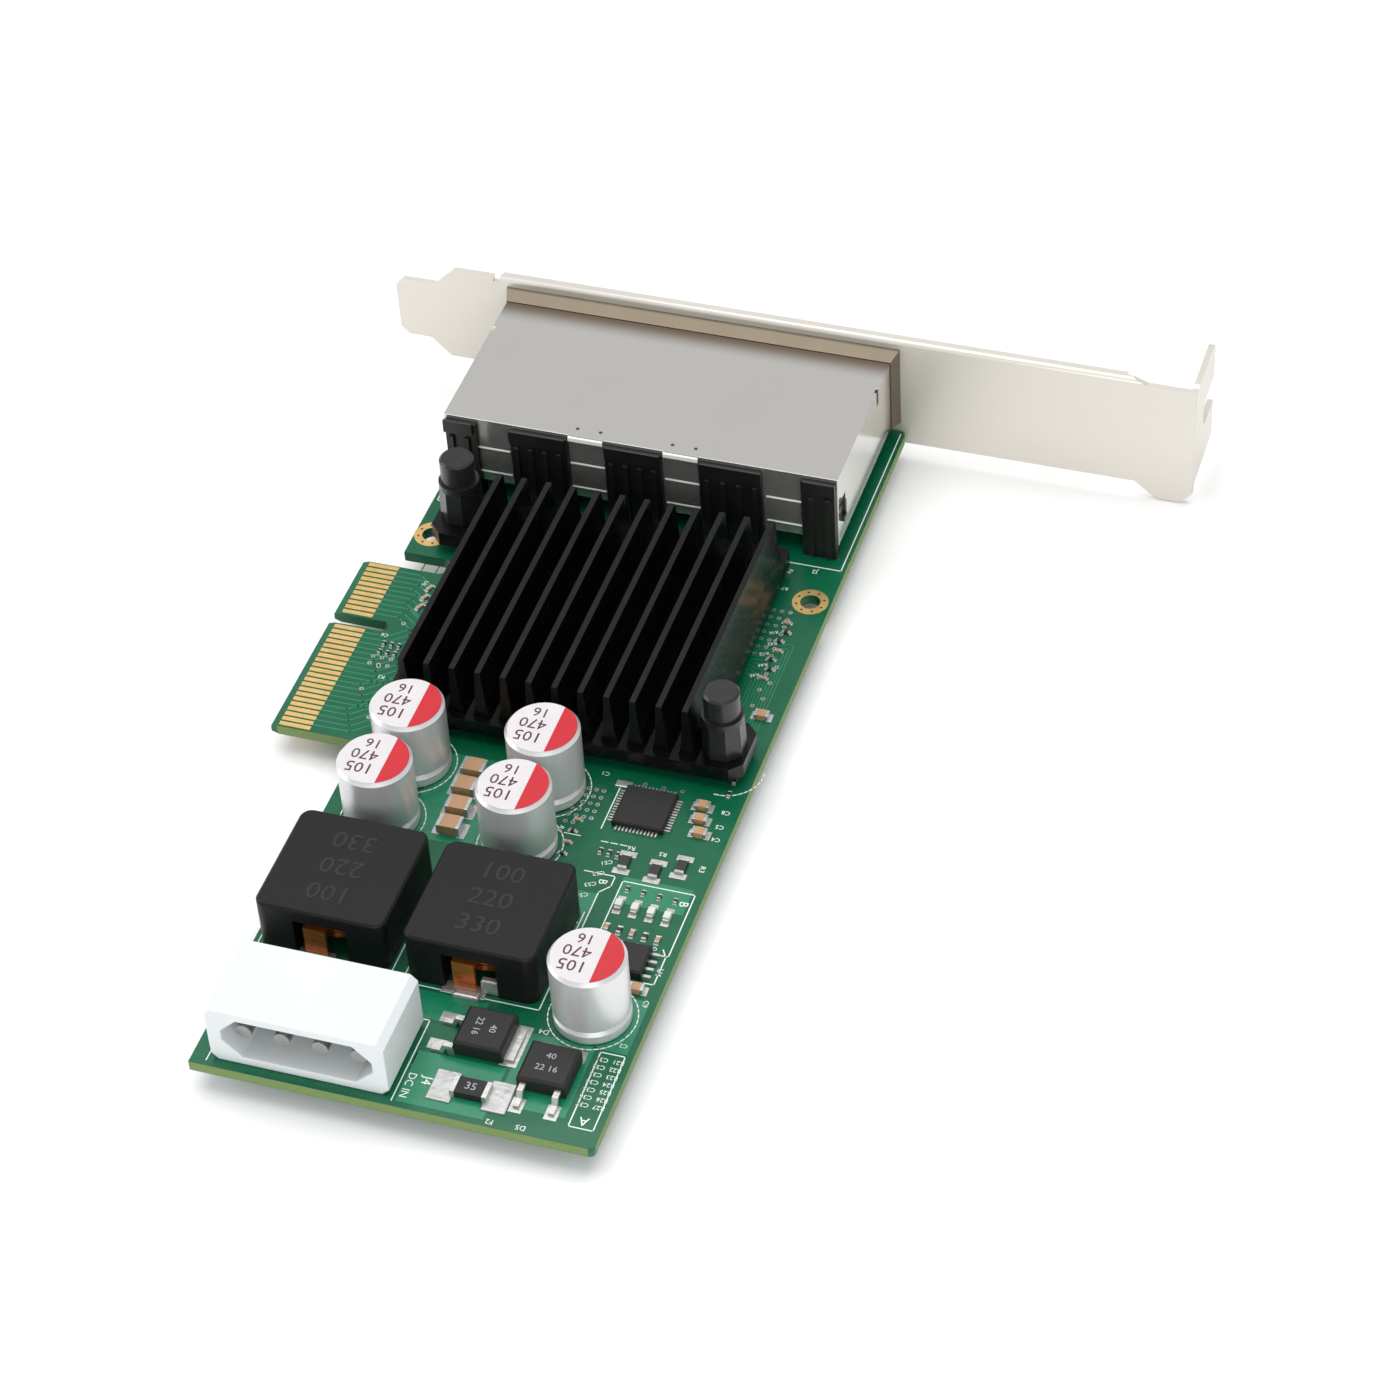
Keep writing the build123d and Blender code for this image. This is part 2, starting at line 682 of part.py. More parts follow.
# Power header: a nylon shroud open to the near edge, with chamfered upper corners
header_plane = Plane((0, header_near, 0), x_dir=(1, 0, 0), z_dir=(0, -1, 0))
with BuildPart() as power_header:
    with BuildSketch(header_plane):
        with Locations((header_middle, header_height / 2)):
            Rectangle(header_width, header_height)
        chamfer(vertices().group_by(Axis.Z)[-1], 0.9)
    extrude(amount=-header_depth)
    cavity_width = header_width - 2 * header_wall
    cavity_height = header_height - header_floor - 1.2
    with BuildSketch(header_plane):
        with Locations((header_middle, header_floor + cavity_height / 2)):
            Rectangle(cavity_width, cavity_height)
        chamfer(vertices().group_by(Axis.Z)[-1], header_corner)
    extrude(amount=-(header_depth - 1.8), mode=Mode.SUBTRACT)
    with Locations(*[(x, header_near + header_depth, way_height) for x in way_centres]):
        Cylinder(way_radius, 6.0, rotation=(90, 0, 0), mode=Mode.SUBTRACT)
power_header.part.label = "power_header"
export_step(power_header.part, "parts/power_header.step")

# Four header pins, each turned down through the board behind the shroud
with BuildPart() as power_pins:
    for x in way_centres:
        with BuildLine():
            FilletPolyline(
                (x, header_near + 1.6, way_height),
                (x, way_bend, way_height),
                (x, way_bend, -board_thickness - 1.2),
                radius=1.3,
            )
        with BuildSketch(Plane((x, header_near + 1.6, way_height), x_dir=(1, 0, 0), z_dir=(0, 1, 0))):
            Circle(way_radius)
        sweep()
power_pins.part.label = "power_pins"
export_step(power_pins.part, "parts/power_pins.step")

# Two power diodes: moulded bodies, heat tabs and gull wing leads
diode_size = 6.4
diode_height = 2.3
left_diode = (47.8, -67.8)
right_diode = (57.3, -71.1)
with BuildPart() as diode_bodies:
    with Locations((*left_diode, 0.1), (*right_diode, 0.1)):
        Box(diode_size, diode_size, diode_height, align=(Align.CENTER, Align.CENTER, Align.MIN))
    chamfer(edges().group_by(Axis.Z)[-1], 0.35)
diode_bodies.part.label = "diode_bodies"
export_step(diode_bodies.part, "parts/diode_bodies.step")

reach = diode_size / 2
with BuildPart() as diode_leads:
    with Locations((left_diode[0] + reach, left_diode[1], 0)):
        Box(1.3, 5.4, 0.5, align=(Align.MIN, Align.CENTER, Align.MIN))
    with Locations((right_diode[0], right_diode[1] + reach, 0)):
        Box(5.4, 1.3, 0.5, align=(Align.CENTER, Align.MIN, Align.MIN))
    for side in (-2.28, 2.28):
        with BuildSketch(Plane.XZ.offset(-left_diode[1] - side + 0.4)):
            with BuildLine():
                Polyline(
                    (left_diode[0] - reach, 1.5),
                    (left_diode[0] - reach - 1.3, 1.5),
                    (left_diode[0] - reach - 1.7, 0.5),
                    (left_diode[0] - reach - 3.0, 0.5),
                    (left_diode[0] - reach - 3.0, 0),
                    (left_diode[0] - reach - 1.3, 0),
                    (left_diode[0] - reach - 0.9, 1.0),
                    (left_diode[0] - reach, 1.0),
                    close=True,
                )
            make_face()
        extrude(amount=0.8)
        with BuildSketch(Plane.YZ.offset(right_diode[0] + side - 0.4)):
            with BuildLine():
                Polyline(
                    (right_diode[1] - reach, 1.5),
                    (right_diode[1] - reach - 1.3, 1.5),
                    (right_diode[1] - reach - 1.7, 0.5),
                    (right_diode[1] - reach - 3.0, 0.5),
                    (right_diode[1] - reach - 3.0, 0),
                    (right_diode[1] - reach - 1.3, 0),
                    (right_diode[1] - reach - 0.9, 1.0),
                    (right_diode[1] - reach, 1.0),
                    close=True,
                )
            make_face()
        extrude(amount=0.8)
diode_leads.part.label = "diode_leads"
export_step(diode_leads.part, "parts/diode_leads.step")

# Surface fuse between its two tinned lands
fuse_place = (48.9, -76.3)
with BuildPart() as fuse_body:
    with Locations((*fuse_place, 0)):
        Box(3.6, 2.6, 1.1, align=(Align.CENTER, Align.CENTER, Align.MIN))
fuse_body.part.label = "fuse_body"
export_step(fuse_body.part, "parts/fuse_body.step")

with BuildPart() as fuse_terminals:
    for side in (-1, 1):
        with Locations((fuse_place[0] + side * 2.1, fuse_place[1], 0)):
            Box(0.6, 2.6, 1.1, align=(Align.CENTER, Align.CENTER, Align.MIN))
fuse_terminals.part.label = "fuse_terminals"
export_step(fuse_terminals.part, "parts/fuse_terminals.step")

# Power control chip with twelve leads on each side
power_chip_place = (54.25, -24.9)
power_chip_side = 7.0
with BuildPart() as power_chip:
    with Locations((*power_chip_place, 0.1)):
        Box(power_chip_side, power_chip_side, 0.95, align=(Align.CENTER, Align.CENTER, Align.MIN))
    chamfer(edges().group_by(Axis.Z)[-1], 0.2)
power_chip.part.label = "power_chip"
export_step(power_chip.part, "parts/power_chip.step")

with BuildPart() as power_chip_leads:
    for quarter in range(4):
        angle = radians(90 * quarter)
        place = Location(
            (
                power_chip_place[0] + cos(angle) * (power_chip_side / 2 + 0.4),
                power_chip_place[1] + sin(angle) * (power_chip_side / 2 + 0.4),
                0,
            ),
            (0, 0, 90 * quarter),
        )
        with Locations(place):
            with GridLocations(1, 0.5, 1, 12):
                Box(0.8, 0.25, 0.3, align=(Align.CENTER, Align.CENTER, Align.MIN))
power_chip_leads.part.label = "power_chip_leads"
export_step(power_chip_leads.part, "parts/power_chip_leads.step")

# Small eight lead chip near the right edge
small_chip_place = (61.2, -50.9)
with BuildPart() as small_chip:
    with Locations((*small_chip_place, 0.1)):
        Box(3.9, 4.9, 1.4, align=(Align.CENTER, Align.CENTER, Align.MIN))
    chamfer(edges().group_by(Axis.Z)[-1], 0.25)
small_chip.part.label = "small_chip"
export_step(small_chip.part, "parts/small_chip.step")

with BuildPart() as small_chip_leads:
    for side in (-1, 1):
        with Locations((small_chip_place[0] + side * 2.5, small_chip_place[1], 0)):
            with GridLocations(1, 1.27, 1, 4):
                Box(1.1, 0.4, 0.5, align=(Align.CENTER, Align.CENTER, Align.MIN))
small_chip_leads.part.label = "small_chip_leads"
export_step(small_chip_leads.part, "parts/small_chip_leads.step")

# Chip components: bodies in one node for each kind, end caps in another
large_ceramics = [(30.0, -23.7), (30.0, -27.2), (30.5, -30.9), (30.6, -34.5)]
small_ceramics = [(61.3, -22.2), (61.7, -24.6), (62.4, -27.0), (63.1, -55.0), (63.7, -3.8)]
chip_height_large = 1.6
chip_height_small = 0.9
cap_length = 0.5
with BuildPart() as ceramic_capacitors:
    with Locations(*[(x, y, 0) for x, y in large_ceramics]):
        Box(2.2, 2.4, chip_height_large, align=(Align.CENTER, Align.CENTER, Align.MIN))
    with Locations(*[(x, y, 0) for x, y in small_ceramics]):
        Box(1.2, 1.3, chip_height_small, align=(Align.CENTER, Align.CENTER, Align.MIN))
ceramic_capacitors.part.label = "ceramic_capacitors"
export_step(ceramic_capacitors.part, "parts/ceramic_capacitors.step")

resistor_places = [(54.6, -34.4), (58.9, -34.9), (62.0, -33.3)]
with BuildPart() as resistors:
    with Locations(*[(x, y, 0) for x, y in resistor_places]):
        Box(1.3, 1.8, 0.55, align=(Align.CENTER, Align.CENTER, Align.MIN))
resistors.part.label = "resistors"
export_step(resistors.part, "parts/resistors.step")

light_places = [(56.3 + 2.23 * i, -41.7 - 0.17 * i) for i in range(4)]
with BuildPart() as signal_lights:
    with Locations(*[(x, y, 0) for x, y in light_places]):
        Box(0.9, 1.1, 0.7, align=(Align.CENTER, Align.CENTER, Align.MIN))
signal_lights.part.label = "signal_lights"
export_step(signal_lights.part, "parts/signal_lights.step")

with BuildPart() as chip_end_caps:
    for x, y in large_ceramics:
        with Locations((x - 1.1 - cap_length / 2, y, 0), (x + 1.1 + cap_length / 2, y, 0)):
            Box(cap_length, 2.4, chip_height_large, align=(Align.CENTER, Align.CENTER, Align.MIN))
    for x, y in small_ceramics:
        with Locations((x - 0.6 - 0.2, y, 0), (x + 0.6 + 0.2, y, 0)):
            Box(0.4, 1.3, chip_height_small, align=(Align.CENTER, Align.CENTER, Align.MIN))
    for x, y in resistor_places:
        with Locations((x, y - 1.1, 0), (x, y + 1.1, 0)):
            Box(1.3, 0.4, 0.55, align=(Align.CENTER, Align.CENTER, Align.MIN))
    for x, y in light_places:
        with Locations((x, y - 0.75, 0), (x, y + 0.75, 0)):
            Box(0.9, 0.4, 0.5, align=(Align.CENTER, Align.CENTER, Align.MIN))
chip_end_caps.part.label = "chip_end_caps"
export_step(chip_end_caps.part, "parts/chip_end_caps.step")
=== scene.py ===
import math
import random

import bmesh
import bpy
from mathutils import Matrix, Vector


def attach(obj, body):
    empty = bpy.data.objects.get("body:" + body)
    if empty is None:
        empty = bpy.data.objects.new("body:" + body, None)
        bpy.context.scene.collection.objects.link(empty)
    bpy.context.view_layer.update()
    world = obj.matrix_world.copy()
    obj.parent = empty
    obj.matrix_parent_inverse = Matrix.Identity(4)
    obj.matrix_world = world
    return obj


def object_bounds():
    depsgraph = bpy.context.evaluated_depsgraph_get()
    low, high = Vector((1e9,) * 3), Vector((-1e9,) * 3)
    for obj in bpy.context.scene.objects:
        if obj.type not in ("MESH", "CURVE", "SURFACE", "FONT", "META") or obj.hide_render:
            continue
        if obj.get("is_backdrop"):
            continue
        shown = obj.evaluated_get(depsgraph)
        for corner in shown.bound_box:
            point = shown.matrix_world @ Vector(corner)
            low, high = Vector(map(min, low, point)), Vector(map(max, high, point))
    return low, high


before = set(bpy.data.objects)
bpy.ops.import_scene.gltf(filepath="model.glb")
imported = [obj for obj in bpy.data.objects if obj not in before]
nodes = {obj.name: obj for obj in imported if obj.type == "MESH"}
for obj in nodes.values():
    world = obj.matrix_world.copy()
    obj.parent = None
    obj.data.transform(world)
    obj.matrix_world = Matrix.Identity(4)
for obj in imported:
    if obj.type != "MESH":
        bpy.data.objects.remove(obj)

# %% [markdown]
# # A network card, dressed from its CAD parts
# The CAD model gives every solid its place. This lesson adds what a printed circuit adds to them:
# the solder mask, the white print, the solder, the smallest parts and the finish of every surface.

MM = 0.001
TOP, UNDER = 0.0, -1.6
CANS = ((21.6, -24.1), (21.2, -34.9), (40.4, -23.8), (40.3, -34.7), (59.2, -60.4))
COILS = ((23.0, -51.6), (43.2, -52.0))
DIODES = ((47.8, -67.8), (57.3, -71.1))
FUSE = (48.9, -76.3)
MOUNTING_RINGS = ((7.5, 19.8), (63.4, 19.8))
cad_low, cad_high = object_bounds()
print("CAD nodes:", len(nodes))

# %% [markdown]
# ## Camera and light
# The camera stands where the photograph was taken from: to the right of the near end, looking down
# at about forty degrees. A wide soft light from above and a pale room give plain reflections.

# %% Camera
CAMERA_PLACE = (0.18946, -0.36390, 0.36592)
azimuth, elevation, roll = math.radians(20.47), math.radians(43.51), math.radians(-3.83)
back = Vector((
    math.sin(azimuth) * math.cos(elevation),
    -math.cos(azimuth) * math.cos(elevation),
    math.sin(elevation),
))
level_right = Vector((math.cos(azimuth), math.sin(azimuth), 0))
level_up = back.cross(level_right)
right = math.cos(roll) * level_right + math.sin(roll) * level_up
up = math.cos(roll) * level_up - math.sin(roll) * level_right
camera = bpy.data.objects.new("camera", bpy.data.cameras.new("camera"))
bpy.context.scene.collection.objects.link(camera)
turned_camera = Matrix((right, up, back)).transposed().to_4x4()
camera.matrix_world = Matrix.Translation(CAMERA_PLACE) @ turned_camera
camera.data.lens = 101.5
camera.data.sensor_width = 36
camera.data.clip_start = 0.01
bpy.context.scene.camera = camera
bpy.context.scene.view_settings.view_transform = "Standard"
print("camera at", tuple(round(c, 3) for c in camera.location))


# %% Lights and room
def soft_light(name, place, target, size, power):
    """A rectangular lamp that faces its target, in metres and watts."""
    lamp = bpy.data.objects.new(name, bpy.data.lights.new(name, "AREA"))
    lamp.data.shape = "RECTANGLE"
    lamp.data.size, lamp.data.size_y = size
    lamp.data.energy = power
    bpy.context.scene.collection.objects.link(lamp)
    lamp.location = place
    aim = Vector(target) - Vector(place)
    lamp.rotation_euler = aim.to_track_quat("-Z", "Y").to_euler()


soft_light("top_light", (0.0, 0.10, 0.62), (0.03, 0.0, 0), (0.7, 0.6), 3.2)
soft_light("front_light", (0.32, -0.62, 0.30), (0.04, 0, 0), (0.5, 0.35), 1.6)
soft_light("left_light", (-0.6, -0.1, 0.28), (0.03, 0, 0), (0.4, 0.4), 1.0)

world = bpy.data.worlds.new("room")
bpy.context.scene.world = world
world.use_nodes = True
room = world.node_tree.nodes["Background"]
room.inputs["Color"].default_value = (1, 1, 1, 1)
room.inputs["Strength"].default_value = 0.62
print("lights:", len(bpy.data.lights))

# %% [markdown]
# ## Materials
# Each finish is a small node tree: a cloud texture moves the colour and the gloss, and a finer one
# gives the relief of moulded plastic, plated sheet or drawn metal.


# %% A finish
def noise_finish(
    name, base, other, rough, metallic=0.0, scale=900.0, bump=0.0, bump_scale=5000.0,
    coat=0.0, spread=0.08, stretch=None, sheen=0.5,
):
    """A surface whose colour and gloss wander a little, with a fine relief."""
    made = bpy.data.materials.new(name)
    made.use_nodes = True
    tree = made.node_tree
    shader = tree.nodes["Principled BSDF"]
    shader.inputs["Metallic"].default_value = metallic
    shader.inputs["Coat Weight"].default_value = coat
    shader.inputs["Specular IOR Level"].default_value = sheen
    where = tree.nodes.new("ShaderNodeTexCoord")
    mapping = tree.nodes.new("ShaderNodeMapping")
    mapping.inputs["Scale"].default_value = stretch or (1, 1, 1)
    tree.links.new(where.outputs["Object"], mapping.inputs["Vector"])
    cloud = tree.nodes.new("ShaderNodeTexNoise")
    cloud.inputs["Scale"].default_value = scale
    cloud.inputs["Detail"].default_value = 5
    tree.links.new(mapping.outputs["Vector"], cloud.inputs["Vector"])
    blend = tree.nodes.new("ShaderNodeMix")
    blend.data_type = "RGBA"
    blend.inputs["A"].default_value = (*base, 1)
    blend.inputs["B"].default_value = (*other, 1)
    tree.links.new(cloud.outputs["Fac"], blend.inputs["Factor"])
    tree.links.new(blend.outputs["Result"], shader.inputs["Base Color"])
    gloss = tree.nodes.new("ShaderNodeMapRange")
    gloss.inputs["To Min"].default_value = max(0.02, rough - spread)
    gloss.inputs["To Max"].default_value = min(1.0, rough + spread)
    tree.links.new(cloud.outputs["Fac"], gloss.inputs["Value"])
    tree.links.new(gloss.outputs["Result"], shader.inputs["Roughness"])
    if bump:
        grain = tree.nodes.new("ShaderNodeTexNoise")
        grain.inputs["Scale"].default_value = bump_scale
        tree.links.new(mapping.outputs["Vector"], grain.inputs["Vector"])
        relief = tree.nodes.new("ShaderNodeBump")
        relief.inputs["Strength"].default_value = bump
        relief.inputs["Distance"].default_value = 0.0001
        tree.links.new(grain.outputs["Fac"], relief.inputs["Height"])
        tree.links.new(relief.outputs["Normal"], shader.inputs["Normal"])
    return made


# %% Floor, just under the lowest part of the card
FLOOR_GAP = 0.0002
floor_mesh = bmesh.new()
bmesh.ops.create_grid(floor_mesh, x_segments=2, y_segments=2, size=3)
for v in floor_mesh.verts:
    v.co.z = cad_low.z - FLOOR_GAP
floor_data = bpy.data.meshes.new("floor")
floor_mesh.to_mesh(floor_data)
floor_mesh.free()
floor = bpy.data.objects.new("floor", floor_data)
bpy.context.scene.collection.objects.link(floor)
floor_data.materials.append(
    noise_finish("floor_paper", (0.93, 0.93, 0.93), (0.95, 0.95, 0.95), 0.9, scale=3))
floor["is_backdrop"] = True
print("floor at", round(cad_low.z / MM, 2), "mm")

# %% Finishes of the board
mask = noise_finish(
    "solder_mask", (0.0008, 0.092, 0.040), (0.0015, 0.122, 0.055), 0.28,
    scale=300, bump=0.06, bump_scale=2600, coat=0.15, sheen=0.35)
track_green = noise_finish(
    "masked_copper", (0.004, 0.175, 0.085), (0.006, 0.215, 0.105), 0.28, scale=500, coat=0.35)
laminate = noise_finish(
    "glass_laminate", (0.115, 0.20, 0.05), (0.19, 0.27, 0.08), 0.6,
    scale=700, stretch=(1, 1, 6), bump=0.2)
silk = noise_finish(
    "white_print", (0.72, 0.78, 0.74), (0.84, 0.88, 0.85), 0.55, scale=1500, bump=0.05)
hole_dark = noise_finish(
    "bore_shadow", (0.006, 0.008, 0.006), (0.012, 0.014, 0.01), 0.7, scale=900)

# %% Finishes of metal
gold = noise_finish(
    "gold_plate", (0.74, 0.47, 0.16), (0.86, 0.60, 0.26), 0.32, 0.85, scale=700, bump=0.05)
nickel = noise_finish(
    "nickel_sheet", (0.66, 0.63, 0.575), (0.72, 0.69, 0.63), 0.38, 0.55,
    scale=120, bump=0.05, bump_scale=1800, stretch=(0.3, 1, 1))
shield_tin = noise_finish(
    "shield_tin", (0.66, 0.65, 0.625), (0.69, 0.68, 0.655), 0.15, 0.85, scale=60, spread=0.02)
# Dark brown ground spring: its colour is a painted reflection, the brown band the bracket makes in
# the metal beside it.
spring = noise_finish(
    "spring_steel", (0.115, 0.095, 0.070), (0.16, 0.135, 0.10), 0.24, 0.9, scale=200)
# Near-white painted highlight for the shield's folds and creases, where the bends catch the light.
painted_fold_highlight = noise_finish(
    "painted_fold_highlight", (0.90, 0.90, 0.88), (0.94, 0.94, 0.92), 0.25, 0.1, scale=300)
pin_metal = noise_finish(
    "pin_metal", (0.30, 0.30, 0.29), (0.40, 0.40, 0.385), 0.34, 0.85, scale=700, bump=0.08)
tin = noise_finish(
    "tinned_metal", (0.40, 0.40, 0.39), (0.62, 0.62, 0.60), 0.30, 0.75,
    scale=900, bump=0.25, bump_scale=1400)
rough_solder = noise_finish(
    "rough_solder", (0.24, 0.245, 0.24), (0.66, 0.67, 0.66), 0.34, 0.7,
    scale=420, bump=0.7, bump_scale=900)
screw_steel = noise_finish(
    "zinc_steel", (0.62, 0.62, 0.60), (0.72, 0.72, 0.70), 0.35, 0.9, scale=600, bump=0.05)
anodised = noise_finish(
    "black_anodised", (0.0015, 0.0015, 0.0016), (0.003, 0.003, 0.0032), 0.26,
    scale=350, bump=0.04, bump_scale=4000, sheen=0.3)
drawn_can = noise_finish(
    "drawn_aluminium", (0.66, 0.66, 0.67), (0.76, 0.76, 0.77), 0.33, 0.55,
    scale=260, stretch=(1, 1, 0.15), bump=0.04)
copper = noise_finish(
    "enamelled_copper", (0.50, 0.115, 0.022), (0.66, 0.19, 0.045), 0.26, 0.75,
    scale=350, stretch=(1, 1, 4), coat=0.3)

# %% Finishes of plastic, resin and ceramic
black = noise_finish(
    "black_plastic", (0.006, 0.006, 0.006), (0.011, 0.011, 0.011), 0.34, scale=400, bump=0.04)
resin = noise_finish(
    "module_resin", (0.010, 0.010, 0.010), (0.016, 0.016, 0.016), 0.5, scale=500, bump=0.1)
chip_black = noise_finish(
    "chip_mould", (0.010, 0.010, 0.010), (0.017, 0.017, 0.017), 0.5,
    scale=800, bump=0.18, bump_scale=6000, sheen=0.35)
pad_grey = noise_finish(
    "heat_pad", (0.32, 0.36, 0.38), (0.38, 0.42, 0.44), 0.7, scale=700, bump=0.1)
pin_black = noise_finish(
    "pin_nylon", (0.010, 0.010, 0.011), (0.018, 0.018, 0.019), 0.27, scale=500, bump=0.05)
rubber = noise_finish(
    "seal_rubber", (0.012, 0.012, 0.012), (0.02, 0.02, 0.02), 0.7, scale=900, bump=0.15)
ferrite = noise_finish(
    "ferrite", (0.003, 0.003, 0.003), (0.006, 0.006, 0.006), 0.45,
    scale=700, bump=0.22, bump_scale=5200, sheen=0.25)
nylon = noise_finish(
    "white_nylon", (0.66, 0.70, 0.71), (0.71, 0.745, 0.755), 0.42, scale=140, bump=0.03)
ceramic = noise_finish(
    "tan_ceramic", (0.40, 0.22, 0.11), (0.52, 0.31, 0.17), 0.4, scale=1500, bump=0.05)
black_film = noise_finish(
    "resistor_film", (0.012, 0.012, 0.012), (0.02, 0.02, 0.02), 0.4, scale=900)
window = noise_finish(
    "clear_window", (0.62, 0.66, 0.60), (0.70, 0.74, 0.68), 0.15, scale=300)

# %% Finishes of the inks on the cans
red_print = noise_finish(
    "red_print", (0.46, 0.001, 0.010), (0.55, 0.002, 0.016), 0.4, scale=600)
dark_print = noise_finish(
    "dark_print", (0.05, 0.004, 0.02), (0.09, 0.008, 0.03), 0.4, scale=900)
white_print = noise_finish(
    "pale_print", (0.60, 0.57, 0.59), (0.68, 0.66, 0.67), 0.35, scale=500, coat=0.2)
print("finishes:", len(bpy.data.materials))

# %% [markdown]
# The bracket's reflection in the shield's bright roof is painted as a warm band beside it. The band
# is blended into the shield's colour between two places along Y.


# %% Painted reflection band beside the bracket
def painted_reflection_band(made, start, end, tone):
    """Blends a painted reflection tone into a finish between two places along Y, in metres."""
    tree = made.node_tree
    shader = tree.nodes["Principled BSDF"]
    plain = shader.inputs["Base Color"].links[0].from_socket
    where = tree.nodes.new("ShaderNodeTexCoord")
    axes = tree.nodes.new("ShaderNodeSeparateXYZ")
    tree.links.new(where.outputs["Object"], axes.inputs["Vector"])
    along = tree.nodes.new("ShaderNodeMapRange")
    along.interpolation_type = "SMOOTHSTEP"
    along.inputs["From Min"].default_value = start
    along.inputs["From Max"].default_value = end
    tree.links.new(axes.outputs["Y"], along.inputs["Value"])
    blend = tree.nodes.new("ShaderNodeMix")
    blend.data_type = "RGBA"
    blend.inputs["B"].default_value = (*tone, 1)
    tree.links.new(plain, blend.inputs["A"])
    tree.links.new(along.outputs["Result"], blend.inputs["Factor"])
    tree.links.new(blend.outputs["Result"], shader.inputs["Base Color"])


# The warm tone is a painted reflection of the bracket on the shield's roof.
painted_reflection_band(shield_tin, 0.0520, 0.0562, (0.21, 0.15, 0.10))
print("band on", shield_tin.name)

# %% [markdown]
# Every CAD node gets its finish. The straight edges of the large parts get a fine round, because no
# moulded or folded edge is perfectly sharp.

# %% Finish and fine round of the CAD nodes
finish_of = {
    "circuit_board": mask, "edge_contacts": gold, "mounting_rings": gold,
    "bracket": nickel, "bracket_screws": screw_steel,
    "jack_shield": shield_tin, "ground_spring_frame": spring, "jack_housing": black,
    "jack_magnetics": resin, "jack_contacts": gold, "jack_pins": tin,
    "jack_light_windows": window,
    "controller_chip": chip_black, "thermal_pad": pad_grey,
    "heatsink": anodised, "push_pins": pin_black,
    "capacitor_seals": rubber, "capacitor_leads": tin,
    "inductor_core_left": ferrite, "inductor_core_right": ferrite,
    "inductor_winding_left": copper, "inductor_winding_right": copper,
    "inductor_terminals": tin,
    "power_header": nylon, "power_pins": pin_metal,
    "diode_bodies": chip_black, "diode_leads": tin,
    "fuse_body": chip_black, "fuse_terminals": tin,
    "power_chip": chip_black, "power_chip_leads": tin,
    "small_chip": chip_black, "small_chip_leads": tin,
    "ceramic_capacitors": ceramic, "resistors": black_film,
    "signal_lights": window, "chip_end_caps": tin,
}
finish_of.update({f"capacitor_{i}": drawn_can for i in range(1, 6)})
round_of = {
    "bracket": 0.10, "jack_shield": 0.10, "jack_housing": 0.12, "heatsink": 0.12,
    "power_header": 0.25, "diode_bodies": 0.08, "diode_leads": 0.06, "chip_end_caps": 0.08,
    "ceramic_capacitors": 0.03, "inductor_core_left": 0.3, "inductor_core_right": 0.3,
    "circuit_board": 0.04,
}
for name, made in finish_of.items():
    data = nodes[name].data
    data.materials.clear()
    data.materials.append(made)
    if name in round_of:
        weld = nodes[name].modifiers.new("weld", "WELD")
        weld.merge_threshold = 0.000001
        bevel = nodes[name].modifiers.new("round", "BEVEL")
        bevel.width = round_of[name] * MM
        bevel.segments = 2
        bevel.limit_method = "ANGLE"
        bevel.angle_limit = math.radians(40)
        bevel.harden_normals = True
print("finished CAD nodes:", len(finish_of), "of them rounded:", len(round_of))

# %% [markdown]
# ## Building blocks
# Small parts are made in millimetres from plates, turned shapes, flat strips and letters, and each
# set is one mesh, so that a hundred pads are one piece.


# %% Plates and turned shapes
def plate(mesh, centre, size, turn=0.0, edge=0.0):
    """A block that stands on centre, with its upper edges rounded if edge is given."""
    x, y, z = centre
    made = bmesh.ops.create_cube(mesh, size=1)["verts"]
    spin = Matrix.Rotation(math.radians(turn), 4, "Z")
    place = Matrix.Translation((x, y, z + size[2] / 2)) @ spin @ Matrix.Diagonal((*size, 1))
    bmesh.ops.transform(mesh, matrix=place, verts=made)
    if edge:
        upper = z + size[2] * 0.6
        rims = {e for v in made for e in v.link_edges if all(w.co.z > upper for w in e.verts)}
        bmesh.ops.bevel(
            mesh, geom=list(rims), offset=edge, segments=2, profile=0.5,
            affect="EDGES", material=-1)


def turned(mesh, profile, centre, steps=40):
    """A closed profile of (radius, height) pairs turned about an upright axis."""
    x, y, z = centre
    line = [mesh.verts.new((x + r, y, z + h)) for r, h in profile]
    edges = [mesh.edges.new(pair) for pair in zip(line, line[1:])]
    bmesh.ops.spin(
        mesh, geom=line + edges, cent=(x, y, z), axis=(0, 0, 1), angle=2 * math.pi,
        steps=steps, use_merge=True)
    reach = profile[1][0] * 1.5 + 0.01
    near = [v for v in mesh.verts
            if v.is_valid and math.hypot(v.co.x - x, v.co.y - y) < reach]
    bmesh.ops.remove_doubles(mesh, verts=near, dist=0.0005)


# %% Strips, rings and letters
def strip(mesh, points, width, z, height):
    """A flat line through points, mitred by overlap."""
    for (ax, ay), (bx, by) in zip(points, points[1:]):
        length = math.hypot(bx - ax, by - ay)
        if length:
            turn = math.degrees(math.atan2(by - ay, bx - ax))
            middle = ((ax + bx) / 2, (ay + by) / 2, z)
            plate(mesh, middle, (length + width, width, height), turn)


def ring_line(mesh, centre, radius, width, start=0, stop=360, z=0.0, height=0.02):
    """A printed circle, or an arc of it, in steps of about nine degrees."""
    x, y = centre
    count = max(6, int(abs(stop - start) / 9))
    angles = [math.radians(start + (stop - start) * i / count) for i in range(count + 1)]
    points = [(x + radius * math.cos(a), y + radius * math.sin(a)) for a in angles]
    strip(mesh, points, width, z, height)


